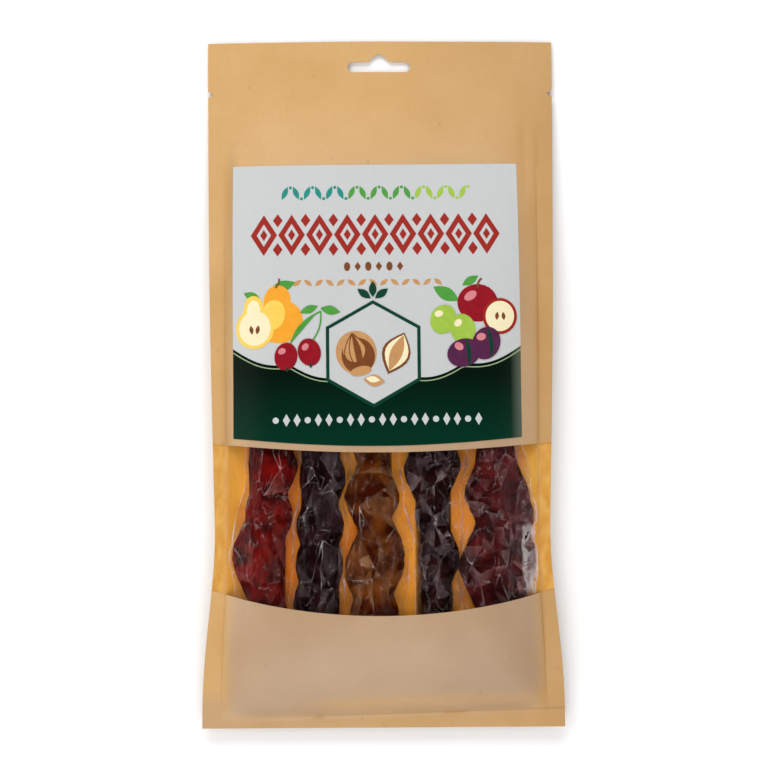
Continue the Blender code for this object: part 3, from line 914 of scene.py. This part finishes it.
def right_fruits(put):
    """A red apple, its half, green and purple plums."""
    put("green", 2, leaf(33.0, 63.0, 14.0, 6.4, 30.0), leaf(44.5, 56.5, 9.0, 4.0, -32.0))
    fruit(put, "berry", "pink", 3, 47.8, 67.5, 9.6, 9.2)
    put("brown", 4, bow(47.8, 60.2, 49.8, 55.4, -0.6, 0.9))
    put("red", 5, ellipse(58.2, 73.9, 8.2, 8.8, 12.0))
    put("cream", 6, ellipse(58.2, 73.9, 6.8, 7.4, 12.0))
    put("brown", 7, leaf(56.8, 73.9, 4.0, 1.8, 96.0), leaf(59.9, 73.9, 4.0, 1.8, 84.0))
    for u, v, turn in ((31.5, 75.5, 20.0), (40.5, 80.0, -12.0)):
        fruit(put, "lime", "cream", 6, u, v, 6.0, 7.2, turn)
    for u, v, turn in ((51.5, 87.0, 24.0), (41.0, 91.5, 70.0)):
        fruit(put, "purple", "pink", 8, u, v, 6.6, 8.0, turn)
        put("dark", 10, bow(u + 1.0, v - 6.6, u + 2.4, v + 6.2, -1.4, 0.5))


def centre_nuts(put):
    """A six-sided frame with a sprig on it, and inside it a whole nut and a shelled one."""
    put("white", 3, ellipse(-1.5, 91.5, 24.0, 24.0, 30.0, 6))
    frame_outer, frame_inner = [ellipse(-1.5, 91.5, half, half, 30.0, 6) for half in (25.6, 23.8)]
    put("dark", 4, *ring(frame_outer, frame_inner))
    for u, v, turn in ((-5.6, 62.6, 38.0), (2.6, 62.6, 142.0), (-1.5, 60.4, 90.0)):
        put("dark", 5, leaf(u, v, 7.8, 3.6, turn))
    put("tan", 5, ellipse(-9.5, 91.0, 9.6, 10.4, -12.0))
    put("brown", 6, ellipse(-8.6, 92.6, 7.8, 8.6, -12.0))
    put("tan", 7, ellipse(-10.6, 89.6, 5.2, 6.0, -12.0))
    for bend in (-5.0, -2.4, 0.4, 3.0, 5.4):
        put("brown", 8, bow(-11.5, 81.8, -7.6, 100.6, bend, 0.45))
    put("tan", 9, ellipse(-7.4, 99.8, 5.0, 2.2, -12.0))
    put("brown", 7, leaf(9.2, 91.5, 21.0, 13.4, 112.0))
    put("cream", 8, leaf(9.4, 91.3, 18.6, 11.0, 112.0))
    for bend in (-2.6, 0.0, 2.6):
        put("tan", 9, bow(12.6, 83.4, 6.0, 99.4, bend, 0.6))
    put("tan", 9, leaf(-1.2, 104.4, 10.0, 5.4, 8.0))
    put("cream", 10, leaf(-1.8, 103.8, 7.0, 3.0, 8.0))


def make_print():
    """All the print: small shapes by colour, and the dark green field with its row of white marks."""
    art = {}

    def put(colour, layer, *outlines):
        art.setdefault(colour, []).extend((layer, outline) for outline in outlines)

    heading_ornament(put)
    left_fruits(put)
    right_fruits(put)
    centre_nuts(put)
    for step in range(20):
        u = -47.5 + 5.0 * step
        across, down, sides = (1.7, 3.0, 4) if step % 3 else (1.5, 1.5, 12)
        put("white", 2, ellipse(u, 122.6, across, down, sides=sides))
    places = [2.0 * step - HALF_LABEL for step in range(69)]
    edge = [(u, field_edge(u) + 1.6) for u in places]
    put("gold", 2, *[stroke(edge[i:i + 2], 0.5) for i in range(68)])
    inks = {
        "teal": ("1E7F73", "2A9186"), "green": ("3F8B3A", "5AA044"), "lime": ("8DB23C", "A9C653"),
        "red": ("94251D", "9D2B22"), "brown": ("6E3E22", "7F4C2A"), "tan": ("B98652", "C9996A"),
        "orange": ("E9962A", "F0AB38"), "yellow": ("F2C24C", "F6D168"), "cream": ("EBDDB0", "F3E8C4"),
        "berry": ("7A1220", "A01C26"), "pink": ("C9707A", "D98C92"), "purple": ("47203F", "5E2C50"),
        "dark": ("0C3B29", "12422F"), "gold": ("8FA27C", "A3B48D"), "white": ("C0C2C2", "C5C7C7"),
    }
    for colour, (low, high) in inks.items():
        ink = coated_print("ink_" + colour, mottled_ink(low, high))
        print_on_label("print_" + colour, ink, art[colour])

    def field_top(x):
        right = x - label_x(0.0, 0.0)
        return PRINT_TOP_Y - field_edge(right * 1000.0) / 1000.0 + LABEL_TURN * right

    bm = sheet(24, label_column, label_foot, field_top,
               lambda x, y: label_face(x, y) - INK, lambda x, y: label_face(x, y) + INK)
    piece("print_field", bm, (coated_print("ink_field_green", field_ink),), "label")


# Sticks and their wraps

def hidden_nuts(rng, seen, base):
    """Nuts along the stretches that the paper hides, above and below those that show."""
    nuts = []
    first = max(nut[0] for nut in seen)
    last = min(nut[0] for nut in seen)
    for start, end, way in ((first, STICK_TOP_Y, 1), (last, STICK_FOOT_Y, -1)):
        y = start + way * NUT_PITCH
        while way * (end - y) > END_ROUND * 0.6:
            nuts.append((y, rng.uniform(-0.0012, 0.0012), base + rng.uniform(0.0012, 0.0024),
                         rng.uniform(0.0105, 0.0130)))
            y += way * NUT_PITCH * rng.uniform(0.9, 1.1)
    return nuts


def nut_reach(nut, y, sine, cosine):
    """How far a nut reaches from the thread in one direction, 0 where it doesn't."""
    place, shift, half, length = nut
    slice_share = 1.0 - ((y - place) / length) ** 2
    if slice_share <= 0.0:
        return 0.0
    wide = half * math.sqrt(slice_share)
    tall = STICK_THICKNESS / 2 * math.sqrt(slice_share)
    k = (cosine / wide) ** 2 + (sine / tall) ** 2
    b = shift * cosine / wide ** 2
    inside = b * b - k * ((shift / wide) ** 2 - 1.0)
    if inside <= 0.0:
        return 0.0
    return max((b + math.sqrt(inside)) / k, 0.0)


def stick_reach(nuts, base, y, angle):
    """Distance from the thread to the surface: the nuts and the must between them, blended."""
    sine, cosine = math.sin(angle), math.cos(angle)
    tall = STICK_THICKNESS / 2 * 0.84
    plain = 1.0 / math.hypot(cosine / base, sine / tall)
    total = plain ** NUT_BLEND + sum(nut_reach(nut, y, sine, cosine) ** NUT_BLEND for nut in nuts)
    reach = total ** (1.0 / NUT_BLEND)
    to_end = min(STICK_TOP_Y - y, y - STICK_FOOT_Y)
    if to_end < END_ROUND:
        reach *= math.sqrt(max(1.0 - (1.0 - to_end / END_ROUND) ** 2, 0.0))
    return reach


def between_walls(thread_x, y, angle, reach, room):
    """Shortens a reach from the thread so that it stays between the walls, with that much room."""
    sine, cosine = math.sin(angle), math.cos(angle)
    for _ in range(3):
        x = thread_x + reach * cosine
        if sine > 0.02:
            high = film_face(x, y) - FILM - room
            reach = min(reach, max(high - STICK_AXIS_Z, 0.001) / sine)
        elif sine < -0.02:
            low = back_face(x, y) + PAPER + room
            reach = min(reach, max(STICK_AXIS_Z - low, 0.001) / -sine)
    return reach


def placed(thread_x, y, angle, reach):
    return thread_x + reach * math.cos(angle), y, STICK_AXIS_Z + reach * math.sin(angle)


TABLE_ANGLES = 64
TABLE_STEP = 0.001
WRAP_ROOM = 0.0015          # room that the must leaves for its wrap under the window film
MUST_TAUT = 0.45            # steepest slopes along the stick of the must and of its wrap
WRAP_TAUT = 0.20
TAUT_STEPS = 21             # how many table steps to each side a lump holds them out
SKIN_RADIUS = 0.010         # turns an angle round a stick into a length for its patterns


def reach_tables(thread_x, base, nuts):
    """Reach of the must and of its wrap by angle and place: the wrap spans the hollows tautly."""
    count = round((STICK_TOP_Y - STICK_FOOT_Y) / TABLE_STEP) + 1
    must = np.zeros((TABLE_ANGLES, count))
    for a in range(TABLE_ANGLES):
        angle = 2.0 * math.pi * a / TABLE_ANGLES
        for row in range(count):
            y = STICK_FOOT_Y + row * TABLE_STEP
            must[a, row] = between_walls(thread_x, y, angle, stick_reach(nuts, base, y, angle), WRAP_ROOM)
    return taut(must, MUST_TAUT), taut(must, WRAP_TAUT)


def taut(table, steepest):
    """Fills the hollows along the stick so that no slope is steeper than that."""
    filled = table.copy()
    for shift in range(1, TAUT_STEPS + 1):
        drop = steepest * shift * TABLE_STEP
        filled[:, shift:] = np.maximum(filled[:, shift:], table[:, :-shift] - drop)
        filled[:, :-shift] = np.maximum(filled[:, :-shift], table[:, shift:] - drop)
    return filled


def look_up(table, y, angle):
    """A table's value between its entries."""
    a = angle / (2.0 * math.pi) % 1.0 * TABLE_ANGLES
    row = min(max((y - STICK_FOOT_Y) / TABLE_STEP, 0.0), table.shape[1] - 1.001)
    low_a, low_row = int(a) % TABLE_ANGLES, int(row)
    high_a = (low_a + 1) % TABLE_ANGLES
    share_a, share_row = a - int(a), row - low_row
    low = table[low_a, low_row] * (1.0 - share_a) + table[high_a, low_row] * share_a
    high = table[low_a, low_row + 1] * (1.0 - share_a) + table[high_a, low_row + 1] * share_a
    return float(low * (1.0 - share_row) + high * share_row)


def must_relief(x, y, angle):
    """Folds and pits of the dried skin, below the wrap."""
    around = angle * SKIN_RADIUS
    fold_highlight = 1.0 - abs(rumple(around * 1.5, y, 0.0065, x * 40.0)) * 2.0
    return 0.0005 * fold_highlight + 0.0002 * rumple(around, y, 0.003, x * 40.0 + 9.0) - 0.0009


def make_stick(node, thread_x, must, material):
    """The lumpy must of one stick."""
    bm = bmesh.new()
    bmesh.ops.create_cone(bm, cap_ends=True, segments=STICK_POINTS, radius1=1.0, radius2=1.0, depth=1.0)
    shaft = [edge for edge in bm.edges if abs(edge.verts[0].co.z - edge.verts[1].co.z) > 0.5]
    bmesh.ops.subdivide_edges(bm, edges=shaft, cuts=STICK_RINGS, use_grid_fill=True)
    for vert in bm.verts:
        share = 0.004 + (0.5 - vert.co.z) * 0.992
        y = STICK_TOP_Y + (STICK_FOOT_Y - STICK_TOP_Y) * share
        angle = math.atan2(vert.co.x, vert.co.y)
        reach = max(look_up(must, y, angle) + must_relief(thread_x, y, angle), 0.0005)
        vert.co = placed(thread_x, y, angle, reach)
    bmesh.ops.recalc_face_normals(bm, faces=bm.faces)
    piece(node + "_must", bm, (material,), node, sharp=60.0)


NET_AROUND = 16
NET_ALONG = 28
NET_CUTS = 6
NET_TIP = 0.25              # place in the flat net where the wrap is folded back
NET_INNER = 0.49            # inside its edges
WRAP_TOP_Y = -0.022
WRAP_FOOT_Y = -0.128
FIN_LEAST = 0.0003
FIN_SPREAD = 0.20           # angle to each side of the thread's level over which a fin fades
PAINTED_GLARE = {"stick_plum": (-0.0665, -0.1070, 0.0106)}     # a painted glare on a wrap: from y, to y, from this far right


def fin(angle, y, left, right, layer):
    """Extra reach of the wrap where it lies flat beside the stick."""
    to_right = abs(math.atan2(math.sin(angle), math.cos(angle)))
    to_left = math.pi - to_right
    right *= 0.7 + 0.9 * rumple(0.0, y, 0.016, layer)
    left *= 0.7 + 0.9 * rumple(0.0, y, 0.016, layer + 5.0)
    return (max(right, FIN_LEAST) * bell(to_right, FIN_SPREAD)
            + max(left, FIN_LEAST) * bell(to_left, FIN_SPREAD))


def is_tip(vert):
    """Whether a point of the flat net lies where the wrap is folded back beside the stick."""
    return abs(abs(vert.co.x) - NET_TIP) < 0.001


def wrap_net(layer, painted_sheen_amount, rng):
    """A flat net of straight creases for one wrap: uneven triangles, with two unbroken lines
    where the film is folded back beside the stick. Only the upper side, which shows."""
    bm = bmesh.new()
    bmesh.ops.create_grid(bm, x_segments=NET_AROUND, y_segments=NET_ALONG, size=0.5)
    inner = [v for v in bm.verts if abs(v.co.x) < NET_INNER and abs(v.co.y) < NET_INNER]
    for vert in inner:
        row = round((vert.co.y + 0.5) * NET_ALONG)
        if not is_tip(vert):
            vert.co.x += (rng.uniform(-0.35, 0.35) + 0.25 * (-1) ** row) / NET_AROUND
        vert.co.y += rng.uniform(-0.48, 0.48) / NET_ALONG
    gone = []
    for vert in inner:
        calm = rumple(vert.co.x, vert.co.y * 2.0, 0.11, layer)
        if not is_tip(vert) and calm + rng.uniform(-0.5, 0.5) > 0.10:
            gone.append(vert)
    bmesh.ops.dissolve_verts(bm, verts=gone)
    bmesh.ops.triangulate(bm, faces=bm.faces, quad_method="BEAUTY", ngon_method="BEAUTY")
    under = [face for face in bm.faces if abs(face.calc_center_median().x) > NET_TIP]
    bmesh.ops.delete(bm, geom=under, context="FACES")
    # Painted sheen on some facets, a few bright painted glints, and more sheen on the fins.
    painted_sheen = bm.faces.layers.float.new("painted_sheen")
    fold_highlight = bm.edges.layers.float.new("fold_highlight")
    crease_highlight = bm.verts.layers.float.new("crease_highlight")
    for face in bm.faces:
        face[painted_sheen] = painted_sheen_amount * max(rng.random() - 0.55, 0.0) / 0.45
        if rng.random() < 0.03:
            face[painted_sheen] = 1.4
        elif any(is_tip(vert) for vert in face.verts):
            face[painted_sheen] = max(face[painted_sheen], rng.uniform(0.1, 0.8))
    # Painted highlight lines along a third of the creases and along the folds at the fins.
    for edge in bm.edges:
        tip = all(is_tip(vert) for vert in edge.verts)
        edge[fold_highlight] = 2.0 if tip else float(rng.random() < 0.34)
    # Strength of the painted highlight lines at each point, and a random strength for the painted sheen.
    glow = bm.verts.layers.float.new("glow")
    for vert in bm.verts:
        vert[crease_highlight] = rng.uniform(1.5, 4.5) if is_tip(vert) else rng.uniform(0.70, 1.0)
        vert[glow] = rng.uniform(0.15, 1.0)
    return bm


def make_wrap(node, thread_x, must, wrap, sides, fins, painted_sheen_amount, film, rng):
    """Tight crinkled film over a stick: flat facets between sharp creases."""
    bm = wrap_net(thread_x * 70.0, painted_sheen_amount, rng)
    for vert in bm.verts:
        angle = -math.pi / 2 + (vert.co.x + 0.5) * 2.0 * math.pi
        y = WRAP_TOP_Y + (0.5 - vert.co.y) * (WRAP_FOOT_Y - WRAP_TOP_Y)
        lift = rng.triangular(-0.0002, 0.0013, 0.0001)
        reach = look_up(wrap, y, angle) + fin(angle, y, *fins, thread_x * 90.0) + lift
        reach = beside_neighbours(thread_x, y, angle, reach, sides)
        vert.co = placed(thread_x, y, angle, between_walls(thread_x, y, angle, reach, 0.0001))
    bmesh.ops.subdivide_edges(bm, edges=bm.edges[:], cuts=NET_CUTS, use_grid_fill=True)
    fold_highlight = bm.edges.layers.float["fold_highlight"]
    crease_highlight = bm.verts.layers.float["crease_highlight"]
    # Only points on the chosen creases keep their painted highlight lines.
    for vert in bm.verts:
        most = max(edge[fold_highlight] for edge in vert.link_edges)
        if most < 1.5:
            vert[crease_highlight] = min(vert[crease_highlight], 1.0) if most > 0.5 else 0.0
    for vert in bm.verts:
        across, y, up = vert.co.x - thread_x, vert.co.y, vert.co.z - STICK_AXIS_Z
        # A painted glare on this wrap: a broad patch of pale highlight.
        if node in PAINTED_GLARE:
            start, end, right = PAINTED_GLARE[node]
            patch = smooth((start - y) / 0.010) * smooth((y - end) / 0.005)
            patch *= smooth((across - right) / 0.003)
            patch *= 0.65 + 0.9 * rumple(across * 3.0, y * 0.7, 0.006, 81.0)
            vert[crease_highlight] = max(vert[crease_highlight], 2.6 * patch)
        angle = math.atan2(up, across)
        bend = angle * SKIN_RADIUS + thread_x * 9.0
        angle += 0.10 * rumple(bend, y, 0.0055, 51.0)
        y += 0.0010 * rumple(bend, y, 0.0055, 52.0)
        reach = math.hypot(across, up) + 0.00015 * rumple(bend, y, 0.0040, 53.0)
        reach = max(reach, look_up(must, y, angle) - 0.0004)
        vert.co = placed(thread_x, y, angle, between_walls(thread_x, y, angle, reach, 0.0001))
    bmesh.ops.recalc_face_normals(bm, faces=bm.faces)
    piece(node + "_wrap", bm, (film,), node, sharp=5.0)


def beside_neighbours(thread_x, y, angle, reach, sides):
    """Shortens a reach that would run into the next stick, or into a side seal."""
    cosine = math.cos(angle)
    for neighbour_x, neighbour_must in sides:
        way = math.copysign(1.0, neighbour_x - thread_x)
        if way * cosine > 0.3:
            facing = math.pi if way > 0 else 0.0
            own = look_up(neighbour_must, y, facing) if neighbour_must is not None else 0.0
            room = abs(neighbour_x - thread_x) - own - 0.0007
            reach = min(reach, max(room, 0.002) / abs(cosine))
    return reach


def make_sticks():
    rng = random.Random(SEED)
    net_rng = random.Random(SEED + 1)
    tables = []
    for thread_x, base, *_, seen in STICKS.values():
        tables.append(reach_tables(thread_x, base, list(seen) + hidden_nuts(rng, seen, base)))
    seal_x = inner_half(WAIST_Y)
    neighbours = [(x, must) for x, (must, _) in zip(THREADS, tables)]
    neighbours = [(-seal_x, None)] + neighbours + [(seal_x, None)]
    for index, (node, stick) in enumerate(STICKS.items()):
        thread_x, base, dark, bright, sheen, fins, painted_sheen_amount, seen = stick
        must, wrap = tables[index]
        make_stick(node, thread_x, must, dried_must(node + "_must", dark, bright))
        sides = (neighbours[index], neighbours[index + 2])
        film = crinkled_wrap(node + "_wrap", sheen)
        make_wrap(node, thread_x, must, wrap, sides, fins, painted_sheen_amount, film, net_rng)


# Stage, camera and lights

CAMERA_PLACE = (-0.0018, -0.0789, 0.700)
CAMERA_TURN = (6.105, -0.199, -0.354)
LENS = 68.15


def soft_box(name, spot, size_x, size_y, power):
    """A large soft light that faces the pack."""
    data = bpy.data.lights.new(name, "AREA")
    data.shape = "RECTANGLE"
    data.size = size_x
    data.size_y = size_y
    data.energy = power
    light = linked(name, data)
    light.location = spot
    light.rotation_euler = Vector(spot).to_track_quat("Z", "Y").to_euler()


def make_stage():
    material, tree = new_material("pale_floor")
    grain = add(tree, "TexNoise", {"Vector": stretched(tree), "Scale": 20.0})
    tone = coats(tree, "FCFCFC", (grain, "FEFEFE"))
    add(tree, "OutputMaterial", {0: add(tree, "BsdfPrincipled", {"Base Color": tone, "Roughness": 0.9})})
    bm = bmesh.new()
    bmesh.ops.create_grid(bm, x_segments=1, y_segments=1, size=0.65)
    bmesh.ops.translate(bm, verts=bm.verts, vec=(0.0, 0.0, -0.0002))
    solid("floor", bm, material)

    world = bpy.data.worlds.new("studio")
    world.use_nodes = True
    background = world.node_tree.nodes["Background"]
    background.inputs["Color"].default_value = (1.0, 1.0, 1.0, 1.0)
    seen = add(world.node_tree, "LightPath").outputs["Is Camera Ray"]
    strength = add(world.node_tree, "MapRange", {"Value": seen, "To Min": 0.18})
    world.node_tree.links.new(strength.outputs[0], background.inputs["Strength"])
    bpy.context.scene.world = world
    soft_box("soft_box_head", (-0.12, 0.80, 0.62), 1.0, 0.5, 7.3)
    soft_box("soft_box_left", (-0.90, 0.00, 0.42), 0.5, 1.2, 4.2)
    soft_box("soft_box_right", (0.95, 0.00, 0.45), 0.5, 1.2, 3.4)
    soft_box("soft_box_foot", (-0.05, -0.80, 0.70), 1.0, 0.6, 6.6)

    data = bpy.data.cameras.new("camera")
    data.lens = LENS
    data.sensor_width = 36.0
    camera = linked("camera", data)
    camera.location = CAMERA_PLACE
    camera.rotation_euler = [math.radians(turn) for turn in CAMERA_TURN]
    bpy.context.scene.camera = camera
    bpy.context.scene.view_settings.view_transform = "Standard"


make_stage()
make_pouch(kraft_laminate(), golden_lining())
make_window(clear_film())
make_label(coated_print("label_white", mottled_ink("C0C2C2", "C5C7C7")))
make_print()
make_sticks()
